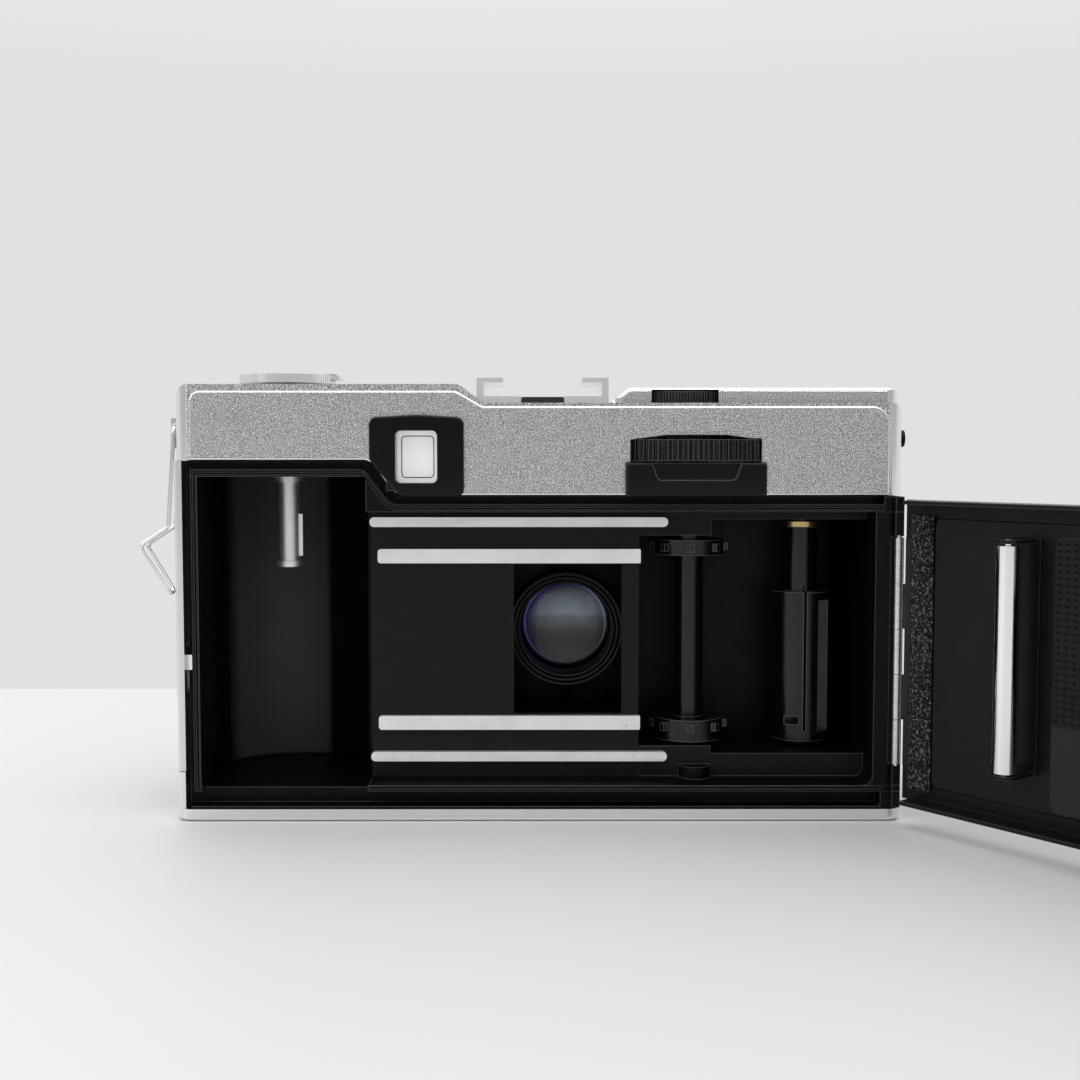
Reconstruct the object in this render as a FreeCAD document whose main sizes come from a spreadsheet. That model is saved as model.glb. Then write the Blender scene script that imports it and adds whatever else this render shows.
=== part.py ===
import FreeCAD, Part
import Sketcher
import math
import os
from types import SimpleNamespace

# Half frame camera with a hinged back, drawn with the back open.
# +X runs to the film chamber side, +Y to the back, +Z up.  Zero is the mouth of the tripod socket,
# below the lens axis.  Sub-parts are drawn from the back edge and moved to the socket as they are kept.

V = FreeCAD.Vector
DOC = FreeCAD.newDocument("HalfFrameCamera")
SHEET = DOC.addObject("Spreadsheet::Sheet", "dims")

SIZES = [
    ("frame_y", 14.0, "the back edge, measured from the tripod socket"),
    # casting and covers
    ("case_left", -49.9, "hinge side of the casting"),
    ("case_right", 58.3, "film chamber side of the casting"),
    ("case_front", -31.0, "front face of the casting"),
    ("case_low", 1.2, "underside of the casting"),
    ("shelf", 49.5, "top of the casting beside the film chamber"),
    ("shelf_high", 54.8, "top of the casting over the film chamber"),
    ("step_a", 26.0, "foot of the step in the casting"),
    ("step_b", 29.6, "head of the step in the casting"),
    ("skin", 0.6, "covering thickness"),
    ("side_wall", 1.2, "metal side frame thickness"),
    ("front_round", 8.0, "corner radius at the front"),
    ("rear_round", 2.4, "corner radius at the back"),
    ("base_rim", 1.9, "height of the base cover"),
    ("cover_gap", 0.2, "gap between the casting and the top cover edge"),
    ("cover_low", 63.6, "top of the cover over the wind wheel side"),
    ("cover_high", 66.4, "top of the cover over the film chamber"),
    ("cover_wall", 1.0, "top cover wall"),
    ("deck_top", 66.0, "top of the raised deck"),
    # film path
    ("film_y", -5.3, "outer film rail surface"),
    ("inner_y", -5.5, "inner film rail surface"),
    ("bed_y", -6.3, "film bed between the rails"),
    ("gate_z", 27.05, "height of the lens axis"),
    ("gate_wide", 16.8, "film gate width"),
    ("gate_tall", 23.4, "film gate height"),
    ("film_wide", 35.2, "gap between the outer rails"),
    ("can_x", 44.6, "film chamber axis"),
    ("can_y", -14.0, "film chamber axis"),
    ("can_r", 12.6, "film chamber radius"),
    ("drive_x", -19.5, "sprocket axis"),
    ("drive_y", -12.15, "sprocket axis"),
    ("drum_r", 5.5, "sprocket drum radius"),
    ("wheel_r", 15.5, "wind wheel radius"),
    ("spool_x", -38.0, "take-up spool axis"),
    ("spool_y", -15.2, "take-up spool axis"),
    ("gear_mod", 0.5, "gear module"),
    # door and hinge
    ("hinge_x", -49.7, "hinge axis"),
    ("hinge_y", 0.6, "hinge axis"),
    ("barrel_r", 0.6, "hinge barrel radius"),
    ("hinge_low", 8.9, "lower end of the hinge"),
    ("hinge_high", 43.4, "upper end of the hinge"),
    ("door_open", 127.5, "door angle as drawn"),
    ("door_low", 3.65, "lower edge of the door"),
    ("door_top", 49.1, "upper edge of the door"),
    ("door_high", 54.6, "upper edge of the door at its free end"),
    ("door_end", 107.7, "door length from the hinge axis"),
    # lens
    ("lens_r", 7.1, "rear glass radius"),
    ("barrel_out", 9.4, "rear barrel radius"),
    ("housing_r", 17.0, "shutter housing radius"),
    ("cell_in", 13.2, "light cell inner radius"),
    ("cell_out", 19.0, "light cell outer radius"),
]


class Size:
    """A number together with the sheet expression that gives it."""

    def __init__(self, value, text):
        self.value = value
        self.text = text

    def joined(self, other, sign, value):
        return Size(value, "(%s %s %s)" % (self.text, sign, other.text))

    def __add__(self, other):
        other = sized(other)
        return self.joined(other, "+", self.value + other.value)

    def __sub__(self, other):
        other = sized(other)
        return self.joined(other, "-", self.value - other.value)

    def __mul__(self, other):
        other = sized(other)
        return self.joined(other, "*", self.value * other.value)

    def __truediv__(self, other):
        other = sized(other)
        return self.joined(other, "/", self.value / other.value)

    def __radd__(self, other):
        return sized(other) + self

    def __rsub__(self, other):
        return sized(other) - self

    def __neg__(self):
        return sized(0) - self


def sized(number):
    """Any plain number as a Size."""
    if isinstance(number, Size):
        return number
    return Size(float(number), "(%.6f)" % number)


for row, (alias, size, note) in enumerate(SIZES, 1):
    SHEET.set("A%d" % row, alias)
    SHEET.set("B%d" % row, str(size))
    SHEET.set("C%d" % row, note)
    SHEET.setAlias("B%d" % row, alias)
DOC.recompute()
d = SimpleNamespace(**{alias: Size(size, "dims." + alias) for alias, size, _ in SIZES})

FACING = {
    "z": FreeCAD.Rotation(),
    "y": FreeCAD.Rotation(V(1, 0, 0), 90),
    "x": FreeCAD.Rotation(V(0, 1, 0), 90),
}


def place(obj, x, y, z):
    for axis, size in zip("xyz", (x, y, z)):
        obj.setExpression("Placement.Base." + axis, sized(size).text)
    return obj


def box(name, x0, x1, y0, y1, z0, z1):
    made = place(DOC.addObject("Part::Box", name), x0, y0, z0)
    for prop, low, high in (("Length", x0, x1), ("Width", y0, y1), ("Height", z0, z1)):
        made.setExpression(prop, (sized(high) - low).text)
    return made


def rod(name, radius, low, high, u, v, axis="z"):
    """A cylinder along an axis; u and v place it on the other two.  Along Y it runs from high to low."""
    made = DOC.addObject("Part::Cylinder", name)
    made.Placement = FreeCAD.Placement(V(), FACING[axis])
    if axis == "z":
        place(made, u, v, low)
    elif axis == "y":
        place(made, u, high, v)
    else:
        place(made, low, u, v)
    made.setExpression("Radius", sized(radius).text)
    made.setExpression("Height", (sized(high) - low).text)
    return made


def cone(name, r_start, r_end, low, high, u, v, axis="z"):
    """A cone laid out like rod; along Y it starts at high."""
    made = DOC.addObject("Part::Cone", name)
    made.Placement = FreeCAD.Placement(V(), FACING[axis])
    place(made, *((u, v, low) if axis == "z" else (u, high, v)))
    made.setExpression("Radius1", sized(r_start).text)
    made.setExpression("Radius2", sized(r_end).text)
    made.setExpression("Height", (sized(high) - low).text)
    return made


def fuse(name, *parts):
    made = DOC.addObject("Part::MultiFuse", name)
    made.Shapes = list(parts)
    made.Refine = True
    return made


def cut(name, base, *tools):
    made = DOC.addObject("Part::Cut", name)
    made.Base = base
    made.Tool = tools[0] if len(tools) == 1 else fuse(name + "_tools", *tools)
    return made


def group(name, *parts):
    made = DOC.addObject("Part::Compound", name)
    made.Links = list(parts)
    return made


def tube(name, r_out, r_in, low, high, u, v, axis="z"):
    outer = rod(name + "_outer", r_out, low, high, u, v, axis)
    inner = rod(name + "_inner", r_in, sized(low) - 0.5, sized(high) + 0.5, u, v, axis)
    return cut(name, outer, inner)


def slab(name, plane, points, start, depth, rounds=None, rims=()):
    """A padded outline.  XY pads go up from start, XZ pads go to -Y from start.

    rounds gives a radius for each numbered corner; rims gives (distance, radius)
    pairs for the edges of the face at that distance along the pad."""
    body = DOC.addObject("PartDesign::Body", name)
    sketch = body.newObject("Sketcher::SketchObject", name + "_outline")
    support = [f for f in body.Origin.OriginFeatures if f.Role == plane + "_Plane"][0]
    sketch.AttachmentSupport = [(support, "")]
    sketch.MapMode = "FlatFace"
    points = [(sized(u), sized(v)) for u, v in points]
    count = len(points)
    for i, (u, v) in enumerate(points):
        after = points[(i + 1) % count]
        sketch.addGeometry(Part.LineSegment(V(u.value, v.value, 0), V(after[0].value, after[1].value, 0)))
    for i in range(count):
        sketch.addConstraint(Sketcher.Constraint("Coincident", i, 2, (i + 1) % count, 1))
    for i, corner in enumerate(points):
        for kind, size in zip(("DistanceX", "DistanceY"), corner):
            index = sketch.addConstraint(Sketcher.Constraint(kind, -1, 1, i, 1, size.value))
            sketch.setExpression("Constraints[%d]" % index, size.text)
    pad = body.newObject("PartDesign::Pad", name + "_pad")
    pad.Profile = sketch
    pad.setExpression("Length", sized(depth).text)
    body.Tip = pad
    DOC.recompute()
    across = (lambda p: (p.x, p.y)) if plane == "XY" else (lambda p: (p.x, p.z))
    along = (lambda p: p.z) if plane == "XY" else (lambda p: -p.y)
    tip = pad
    for radius in sorted({sized(r).value for r in (rounds or {}).values()}, reverse=True):
        corners = [points[i] for i, r in rounds.items() if sized(r).value == radius]
        size = [sized(r) for r in rounds.values() if sized(r).value == radius][0]
        names = []
        for k, edge in enumerate(tip.Shape.Edges, 1):
            ends = [across(w.Point) for w in edge.Vertexes]
            for u, v in corners:
                if len(ends) == 2 and all(math.hypot(e[0] - u.value, e[1] - v.value) < 1e-4 for e in ends):
                    names.append("Edge%d" % k)
        tip = rounded(body, tip, "%s_round_%d" % (name, len(body.Group)), names, size)
    for distance, radius in rims:
        level = sized(distance).value
        names = []
        for k, edge in enumerate(tip.Shape.Edges, 1):
            if all(abs(along(w.Point) - level) < 1e-4 for w in edge.Vertexes):
                names.append("Edge%d" % k)
        tip = rounded(body, tip, "%s_rim_%d" % (name, len(body.Group)), names, sized(radius))
    if plane == "XY":
        return place(body, 0, 0, start)
    return place(body, 0, start, 0)


def rounded(body, base, name, names, size):
    made = body.newObject("PartDesign::Fillet", name)
    made.Base = (base, names)
    made.setExpression("Radius", size.text)
    body.Tip = made
    DOC.recompute()
    return made


def block(name, x0, x1, y0, y1, z0, z1, rounds=None, rims=()):
    """A box padded upwards; its corners are rear left, rear right, front right, front left."""
    points = [(x0, y1), (x1, y1), (x1, y0), (x0, y0)]
    return slab(name, "XY", points, z0, sized(z1) - z0, rounds, rims)


def toothed(name, teeth, r_tip, r_root, tip_part, root_part, low, high, x, y, turn=0.0):
    """A wheel with straight sided teeth; the parts are the tooth's share of its pitch at tip and root."""
    corners = []
    pitch = 2 * math.pi / teeth
    for k in range(teeth):
        middle = math.radians(turn) + k * pitch
        for radius, share in ((r_root, -root_part), (r_tip, -tip_part), (r_tip, tip_part),
                              (r_root, root_part)):
            angle = middle + share * pitch / 2
            corners.append(V(sized(radius).value * math.cos(angle), sized(radius).value * math.sin(angle),
                             0))
    corners.append(corners[0])
    made = DOC.addObject("Part::Feature", name)
    made.Shape = Part.Face(Part.makePolygon(corners)).extrude(V(0, 0, (sized(high) - low).value))
    return place(made, x, y, low)


def turned(made, axis_u, axis_v, facing):
    """Lay a wheel made about Z over so that its axis runs along -Y or X."""
    made.Placement = FreeCAD.Placement(V(), FACING[facing])
    return place(made, axis_u[0], axis_u[1], axis_v)


def wire(name, points, radius, closed=False, bend=1.0):
    """A round wire along straight runs with rounded bends."""
    runs = []
    count = len(points)
    inner = range(count) if closed else range(1, count - 1)
    starts = {}
    ends = {}
    for i in inner:
        before, here, after = points[i - 1], points[i], points[(i + 1) % count]
        back = (before - here).normalize()
        forth = (after - here).normalize()
        half = back.getAngle(forth) / 2
        reach = bend / math.tan(half)
        middle = (back + forth).normalize()
        centre = here + middle * (bend / math.sin(half))
        starts[i] = here + back * reach
        ends[i] = here + forth * reach
        runs.append((i, Part.Arc(starts[i], centre - middle * bend, ends[i]).toShape()))
    edges = []
    arcs = dict(runs)
    for i in range(count if closed else count - 1):
        j = (i + 1) % count
        edges.append(Part.makeLine(ends.get(i, points[i]), starts.get(j, points[j])))
        if j in arcs:
            edges.append(arcs[j])
    path = Part.Wire(edges)
    first = edges[0].Vertexes[0].Point
    along = edges[0].tangentAt(edges[0].FirstParameter)
    ring = Part.Wire(Part.makeCircle(radius, first, along))
    made = DOC.addObject("Part::Feature", name)
    made.Shape = path.makePipeShell([ring], True, True)
    return made


NODES = []


def node(made):
    """Keep a finished sub-part for export under its own label."""
    if made.TypeId not in ("Part::Cut", "Part::MultiFuse", "Part::Compound"):
        single = made
        single.Label = single.Name + "_drawn"
        made = group(single.Name + "_placed", single)
        made.Label = single.Name
    place(made, 0, d.frame_y, 0)
    NODES.append(made)
    return made


def stepped(name, inset, start, depth, left=-47.6, round_r=2.0):
    """The inside outline of the back, with its step over the film chamber."""
    points = [
        (sized(left), 4.5 + inset), (d.case_right - 1.3 - inset, 4.5 + inset),
        (d.case_right - 1.3 - inset, d.shelf_high - 1.2 - inset),
        (d.step_b + 1.2 + inset * 0.4, d.shelf_high - 1.2 - inset),
        (d.step_a + 0.8 + inset * 0.4, d.shelf - 1.2 - inset), (sized(left), d.shelf - 1.2 - inset),
    ]
    return slab(name, "XZ", points, start, depth, {3: round_r, 4: round_r + 0.5})


# ---- casting -------------------------------------------------------------
F, R = d.front_round, sized(1.5)
main = block("casting_main", d.case_left, d.case_right, d.case_front, 0, d.case_low, d.shelf,
             {0: R, 1: R, 2: F, 3: F})
raised = slab("casting_raised", "XZ", [
    (d.step_a, d.shelf - 1), (d.case_right, d.shelf - 1), (d.case_right, d.shelf_high),
    (d.step_b, d.shelf_high), (d.step_a, d.shelf)], 0, -d.case_front)
trim = block("casting_trim", d.case_left, d.case_right, d.case_front, 0, d.case_low, d.shelf_high,
             {0: R, 1: R, 2: F, 3: F})
raised_cut = DOC.addObject("Part::MultiCommon", "casting_raised_cut")
raised_cut.Shapes = [raised, trim]
casting_whole = fuse("casting_whole", main, raised_cut)

trap_outer = box("trap_outer", -47.6, d.case_right + 1, -3, 1, 2.2, d.shelf_high + 1)
trap = cut("trap", trap_outer, stepped("trap_inner", 0, 2, 8))
line_outer = stepped("line_outer", 0.45, 1, 1.8)
line = cut("trap_line", line_outer, stepped("line_inner", 0.75, 2, 4))
field = slab("field", "XZ", [
    (-46.4, 5.4), (30.9, 5.4), (30.9, d.shelf - 2.3), (-46.4, d.shelf - 2.3)], 1, 1 - d.bed_y, {0: 1.5})
can_round = rod("can_round", d.can_r, 4.5, 52.5, d.can_x, d.can_y)
can_mouth = box("can_mouth", 30.6, 56.0, d.can_y, 1, 4.5, 52.5)
spool_room = block("spool_room", -46.4, -22.4, -23.5, 1, 9.0, 45.8, {3: 8.0})
drum_room = block("drum_room", -23.0, -11.1, -23.5, 1, 10.2, 43.3, {2: 1.0})
gate = box("gate", -d.gate_wide / 2, d.gate_wide / 2, -10, 0,
           d.gate_z - d.gate_tall / 2, d.gate_z + d.gate_tall / 2)
tunnel = box("tunnel", -10.4, 10.4, -27, d.bed_y - 1.4, d.gate_z - 13, d.gate_z + 13)
lens_hole = rod("lens_hole", d.barrel_out + 0.5, -32, -26, 0, d.gate_z, "y")
gear_bay = block("gear_bay", -43.5, -13, -21, -5.5, 0.5, 4.5, {0: 2.0, 1: 2.0, 2: 2.0, 3: 2.0})
drive_bore = rod("drive_bore", 2.06, 3, 12, d.drive_x, d.drive_y)
drive_top = rod("drive_top", 3.06, 43, 51, d.drive_x, d.drive_y)
spool_low = rod("spool_low", 1.56, 3, 12, d.spool_x, d.spool_y)
spool_top = rod("spool_top", 1.56, 44, 48, d.spool_x, d.spool_y)
rewind_bore = rod("rewind_bore", 2.26, 50, 57, d.can_x, d.can_y)
hinge_seat = box("hinge_seat", d.case_left - 1, d.case_left + 0.05, -6.1, 1, d.hinge_low - 0.1,
                 d.hinge_high + 0.1)
knuckle_seat = box("knuckle_seat", d.case_left - 1, -48.7, -0.3, 1, d.hinge_low - 0.1, d.hinge_high + 0.1)
idler_x, idler_y = d.drive_x - 9.867, d.drive_y - 1.627
bay_room = cut("bay_room", gear_bay, rod("idler_post", 1.2, 2.0, 5, idler_x, idler_y))
bush_seat = rod("bush_seat", 6.0, 0.5, 4.3, 0, d.can_y)
eye_x, eye_z = sized(22.85), sized(55.5)
finder_way = box("finder_way", eye_x - 5.1, eye_x + 5.1, -32, -2.7, 50.5, 56)
finder_seat = box("finder_seat", eye_x - 8.3, eye_x + 8.3, -32, -29.9, 51.2, 56)
hollowed = cut("casting_hollowed", casting_whole, trap, line, field, can_round, can_mouth, spool_room,
               drum_room,
               gate, tunnel, lens_hole, bay_room, drive_bore, drive_top, spool_low, spool_top, rewind_bore,
               hinge_seat, knuckle_seat, bush_seat, finder_way, finder_seat)
posts = [box("post_low", -50.65, d.case_left + 0.5, -6.1, -0.05, 2.0, d.hinge_low - 0.1),
         box("post_high", -50.65, d.case_left + 0.5, -6.1, -0.05, d.hinge_high + 0.1, d.shelf)]
ledge_boss = rod("ledge_boss", 2.5, 5.3, 7.3, -19.9, d.bed_y)
casting = fuse("casting_solid", hollowed, ledge_boss, *posts)
# The casting is one piece of metal. It is kept as touching solids, one for each simple wall or floor,
# so that its rooms stay open in a simulation.
roof, sill, deep = sized(47.2), sized(5.4), sized(-60)
gate_x, tunnel_x = d.gate_wide / 2, sized(10.4)
gate_low, gate_high = d.gate_z - d.gate_tall / 2, d.gate_z + d.gate_tall / 2
way_low, way_high = d.gate_z - 13, d.gate_z + 13
zones = []
for tag, x0, x1, y0, z0, z1 in (
        ("floor", -60, 70, deep, 0, 4.5), ("sill", -60, 30.9, deep, 4.5, sill),
        ("roof_low", -60, 30.9, deep, roof, 60), ("roof_high", 30.9, 70, deep, 52.5, 60),
        ("end_wall", 56, 70, deep, 4.5, 52.5), ("can_wall_a", d.can_x, 56, deep, 4.5, 52.5),
        ("can_wall_b", 30.9, d.can_x, deep, 4.5, 52.5),
        ("middle_low", -11.1, 30.9, deep, sill, way_low), ("middle_high", -11.1, 30.9, deep, way_high, roof),
        ("middle_side", tunnel_x, 30.9, deep, way_low, way_high),
        ("middle_wall", -11.1, -tunnel_x, deep, way_low, way_high),
        ("gate_a", -tunnel_x, -gate_x, -20, way_low, way_high),
        ("gate_b", gate_x, tunnel_x, -20, way_low, way_high),
        ("gate_c", -gate_x, gate_x, -20, way_low, gate_low),
        ("gate_d", -gate_x, gate_x, -20, gate_high, way_high),
        ("hinge_wall", -60, -46.4, deep, sill, roof), ("spool_wall", -46.4, -11.1, deep, 10.2, 43.3),
        ("spool_floor", -46.4, -11.1, deep, sill, 10.2), ("spool_roof", -46.4, -11.1, deep, 43.3, roof)):
    zone = DOC.addObject("Part::MultiCommon", "casting_" + tag)
    zone.Shapes = [casting, box("zone_" + tag, x0, x1, y0, 5, z0, z1)]
    zones.append(zone)
lens_wall = DOC.addObject("Part::MultiCommon", "casting_lens_wall")
lens_wall.Shapes = [casting, box("zone_lens", -tunnel_x, tunnel_x, deep, -20, way_low, way_high)]
zones.append(lens_wall)
node(group("body_casting", *zones))

# ---- film bed ------------------------------------------------------------
half_film = d.film_wide / 2
rails = []
for tag, x0, x1, top, inner, wide in (
        ("outer", -15.5, 30.7, d.film_y, half_film, 1.5), ("inner", -11.3, 29.5, d.inner_y, sized(11.95),
                2.2)):
    for side, base in (("high", d.gate_z + inner), ("low", d.gate_z - inner - wide)):
        points = [(x0, base), (x1, base), (x1, base + wide), (x0, base + wide)]
        near, far = (0.7, 0.7) if tag == "outer" else (0.2, 0.5)
        rails.append(slab("rail_%s_%s" % (tag, side), "XZ", points, top, top - d.bed_y,
                          {0: near, 1: far, 2: far, 3: near}))
node(group("film_rails", *rails))
baffle_plate = box("baffle_plate", -10.3, 10.3, -24.6, -24, d.gate_z - 12.9, d.gate_z + 12.9)
baffle_hole = rod("baffle_hole", d.barrel_out + 0.15, -26, -23, 0, d.gate_z, "y")
notches = [box("baffle_notch_%d" % k, x, x + 2.2, -26, -23, d.gate_z - 13.5, d.gate_z - 11)
           for k, x in enumerate((-8.5, -1.1, 6.3))]
node(cut("light_baffle", baffle_plate, baffle_hole, *notches))

# ---- top cover -----------------------------------------------------------
left, right = d.case_left - d.skin, d.case_right + d.side_wall
front, back = d.case_front - d.skin, sized(0)
low, low_high = d.shelf + d.cover_gap, d.shelf_high + d.cover_gap
cover_outline = [(left, low), (d.step_a, low), (d.step_b + 0.4, low_high), (right, low_high),
                 (right, d.cover_high),
                 (16.6, d.cover_high), (12.8, d.cover_low), (left, d.cover_low)]
G = d.front_round + d.skin
skirt_outer = block("skirt_outer", d.step_a, right, front, -8.05, low, low_high + 0.5, {2: G})
shell = slab("cover_shell", "XZ", cover_outline, back, back - front,
             {1: 2.5, 2: 1.8, 5: 2.4, 6: 1.8, 4: 2.4, 7: 2.0})
plan = block("cover_plan", left, right, front, back, low - 1, d.deck_top + 1,
             {0: d.rear_round, 1: d.rear_round, 2: G, 3: G})
skirt_core = block("skirt_core", d.case_left, d.case_right, d.case_front, 0, low - 1, low_high + 2,
                   {2: F, 3: F})
skirt = cut("cover_skirt", skirt_outer, skirt_core)
cover_body = DOC.addObject("Part::MultiCommon", "cover_body")
cover_body.Shapes = [shell, plan]
panel = slab("cover_panel", "XZ", [
    (left + 2.3, low), (d.step_a, low), (d.step_b + 0.4, low_high), (right - 2.5, low_high),
    (right - 2.5, d.cover_high - 1.0), (16.9, d.cover_high - 1.0), (13.0, d.cover_low - 0.5),
    (left + 2.3, d.cover_low - 0.5)], 0.35, 1.0, {1: 2.5, 2: 1.8, 5: 2.4, 6: 1.8, 4: 1.6, 7: 2.6},
    [(0, 0.3)])
deck_plan = block("deck_plan", left, -6.4, front + 3.2, -2.6, d.cover_low - 1, d.deck_top + 1,
                  {0: 2.2, 1: 2.0, 2: 3.0, 3: 6.0})
deck_side = slab("deck_side", "XZ", [
    (left, d.cover_low - 1), (-6.5, d.cover_low - 1), (-6.5, d.cover_low + 0.2), (-9.2, d.deck_top),
    (left, d.deck_top)], -2.6, 26, {2: 0.8, 3: 1.6, 4: 2.0}, [(0, 0.6)])
deck = DOC.addObject("Part::MultiCommon", "cover_deck")
deck.Shapes = [deck_plan, deck_side]
wall = d.cover_wall
hollow = slab("cover_hollow", "XZ", [
    (left + wall, low - 1), (d.step_a + 1.4, low - 1), (d.step_b + 1.6, low_high - 1),
    (right - wall, low_high - 1),
    (right - wall, d.cover_high - wall), (17.0, d.cover_high - wall), (13.2, d.cover_low - wall),
    (left + wall, d.cover_low - wall)], back - wall, back - front - wall * 2,
    {1: 1.5, 2: 1.0, 5: 1.4, 6: 2.8})
hollow_plan = block("hollow_plan", left + wall, right - wall, front + wall, back - wall, low - 2,
                    d.deck_top + 1,
                    {0: 1.4, 1: 1.4, 2: G - wall, 3: G - wall})
cover_hollow = DOC.addObject("Part::MultiCommon", "cover_hollow_cut")
cover_hollow.Shapes = [hollow, hollow_plan]
deck_hollow = block("deck_hollow", left + 2.6, -10.2, front + 4.2, -3.6, d.cover_low - 2, d.deck_top - 0.7,
                    {0: 1.5, 1: 1.5, 2: 2.0, 3: 5.0})
wheel_mid = d.drive_x + 0.4
wheel_window = slab("wheel_window", "XZ", [
    (wheel_mid - 9.9, 54.0), (wheel_mid + 9.9, 54.0), (wheel_mid + 9.9, 58.1), (wheel_mid + 4.5, 58.8),
    (wheel_mid - 4.5, 58.8), (wheel_mid - 9.9, 58.1)], 1, 3)
house_window = box("house_window", wheel_mid - 10.6, wheel_mid + 10.6, -2, 1, low - 1, 54.7)
dial_x, dial_y, dial_r = sized(-17.7), sized(-9.9), sized(7.9)
dial_window = box("dial_window", dial_x - 5.1, dial_x + 5.1, -4.5, -2, d.cover_low - 0.3, d.deck_top - 0.3)
dial_room = cut("dial_room", rod("dial_space", dial_r + 0.3, d.cover_low - 0.4, d.deck_top - 0.3, dial_x,
                                 dial_y),
                rod("dial_hub", 1.0, 60, 67, dial_x, dial_y))
dial_post = rod("dial_post", 1.0, 62.9, d.deck_top, dial_x, dial_y)
deck_room = cut("deck_room", deck_hollow, dial_post)
number_window = box("number_window", dial_x - 2.5, dial_x + 2.5, -16.6, -13.0, d.deck_top - 1.5,
                    d.deck_top + 1)
button_x, button_y = sized(-23.0), sized(-24.0)
button_hole = rod("button_hole", 2.86, d.deck_top - 2, d.deck_top + 1, button_x, button_y)
eye_cut = box("eye_cut", eye_x - 4.6, eye_x + 4.6, -3, 2, eye_z - 5.2, eye_z + 5.2)
view_cut = box("view_cut", eye_x - 8.3, eye_x + 8.3, front - 1, front + 3, 51.2, 63.0)
rewind_hole = rod("rewind_hole", 4.6, d.cover_high - 2, d.cover_high + 1, d.can_x, d.can_y)
wheel_room = rod("wheel_room", d.wheel_r + 0.15, 54.7, 58.3, d.drive_x, d.drive_y)
shoe_x, shoe_rear, shoe_front = sized(3.9), sized(-10.5), sized(-28.0)
shoe_seat = box("shoe_seat", shoe_x - 10.45, shoe_x + 10.45, shoe_front - 0.05, shoe_rear + 0.05,
                d.cover_low, 70)
top_cover = node(cut("top_cover", fuse("cover_solid", cover_body, panel, deck, skirt), cover_hollow,
                     deck_room,
                     dial_room, wheel_window, wheel_room, house_window, dial_window, number_window,
                     button_hole, eye_cut,
                     view_cut, rewind_hole, shoe_seat))

# ---- base, sides and coverings ------------------------------------------
base_plan = block("base_plan", left - 0.4, right + 0.4, front, 0.6, 0, d.base_rim,
                  {0: d.rear_round, 1: d.rear_round, 2: G, 3: G},
                  [(0, 0.7)])
base_tab = block("base_tab", d.case_right, right, -7, 0.3, 0.9, 7.6, {1: 0.6})
base_hollow = block("base_hollow", d.case_left, d.case_right, d.case_front, 0, d.case_low, 3,
                    {0: R, 1: R, 2: F, 3: F})
base_bush = rod("base_bush", 5.0, -1, 2, 0, d.can_y)
base_button = rod("base_button", 2.36, -1, 2, d.drive_x, d.drive_y)
screw_spots = [(-44, -6), (50, -6), (-38, -27), (46, -27)]
screw_holes = [rod("base_screw_hole_%d" % k, 1.55, -1, 0.62, x, y) for k, (x, y) in enumerate(screw_spots)]
node(cut("bottom_cover", fuse("base_solid", base_plan, base_tab), base_hollow, base_bush, base_button,
         *screw_holes))
heads = []
for k, (x, y) in enumerate(screw_spots):
    head = rod("screw_head_%d" % k, 1.5, 0.15, 0.62, x, y)
    bar = box("screw_bar_%d" % k, x - 2, x + 2, y - 0.2, y + 0.2, 0, 0.35)
    across = box("screw_across_%d" % k, x - 0.2, x + 0.2, y - 2, y + 2, 0, 0.35)
    heads.append(cut("screw_%d" % k, head, bar, across))
node(group("base_screws", *heads))
side_whole = block("side_whole", d.case_right, right, -8, 0, 7.65, d.shelf_high + 0.1, {1: 0.5})
side_slot = box("side_slot", d.case_right - 1, right + 1, -4.6, -1.4, 19.5, 27.0)
node(cut("side_frame", side_whole, side_slot))
wrap_outer = block("wrap_outer", left, right - 0.6, front, -6.2, d.base_rim + 0.1, d.shelf + 0.1,
                   {2: G, 3: G})
wrap_inner = block("wrap_inner", d.case_left, d.case_right, d.case_front, -6, 1, 56, {2: F, 3: F})
wrap_side = box("wrap_side", d.case_right - 1, right + 1, -8.05, 0, 1, 56)
wrap_lens = rod("wrap_lens", 21.0, -33, -30, 0, d.gate_z, "y")
node(cut("front_covering", wrap_outer, wrap_inner, wrap_side, wrap_lens))
bush = tube("tripod_tube", 4.95, 3.175, 0, 4.2, 0, d.can_y)
bush_flange = tube("tripod_flange", 5.9, 3.175, 1.25, 4.2, 0, d.can_y)
node(fuse("tripod_bush", bush, bush_flange))

# ---- shoe ----------------------------------------------------------------
shoe_base = box("shoe_base", shoe_x - 10.4, shoe_x + 10.4, shoe_front, shoe_rear, d.cover_low, 65.0)
shoe_rise = box("shoe_rise", shoe_x - 10.4, shoe_x + 10.4, shoe_front, shoe_rear, 65.0, 67.9)
shoe_way = box("shoe_way", shoe_x - 9.3, shoe_x + 9.3, shoe_front - 1, shoe_rear + 1, 65.0, 67.2)
shoe_gap = box("shoe_gap", shoe_x - 6.25, shoe_x + 6.25, shoe_front - 1, shoe_rear + 1, 65.0, 69)
shoe_well = box("shoe_well", shoe_x - 3.4, shoe_x + 3.4, -22, shoe_rear + 1, 64.0, 66)
node(cut("accessory_shoe", fuse("shoe_whole", shoe_base, shoe_rise), shoe_way, shoe_gap, shoe_well))
insulator = box("insulator_plate", shoe_x - 3.3, shoe_x + 3.3, -21.9, shoe_rear, 64.02, 64.9)
contact_hole = rod("contact_hole", 1.4, 63, 66, shoe_x, -17.5)
node(cut("shoe_insulator", insulator, contact_hole))
node(rod("shoe_contact", 1.35, 64.1, 65.1, shoe_x, -17.5))

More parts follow.
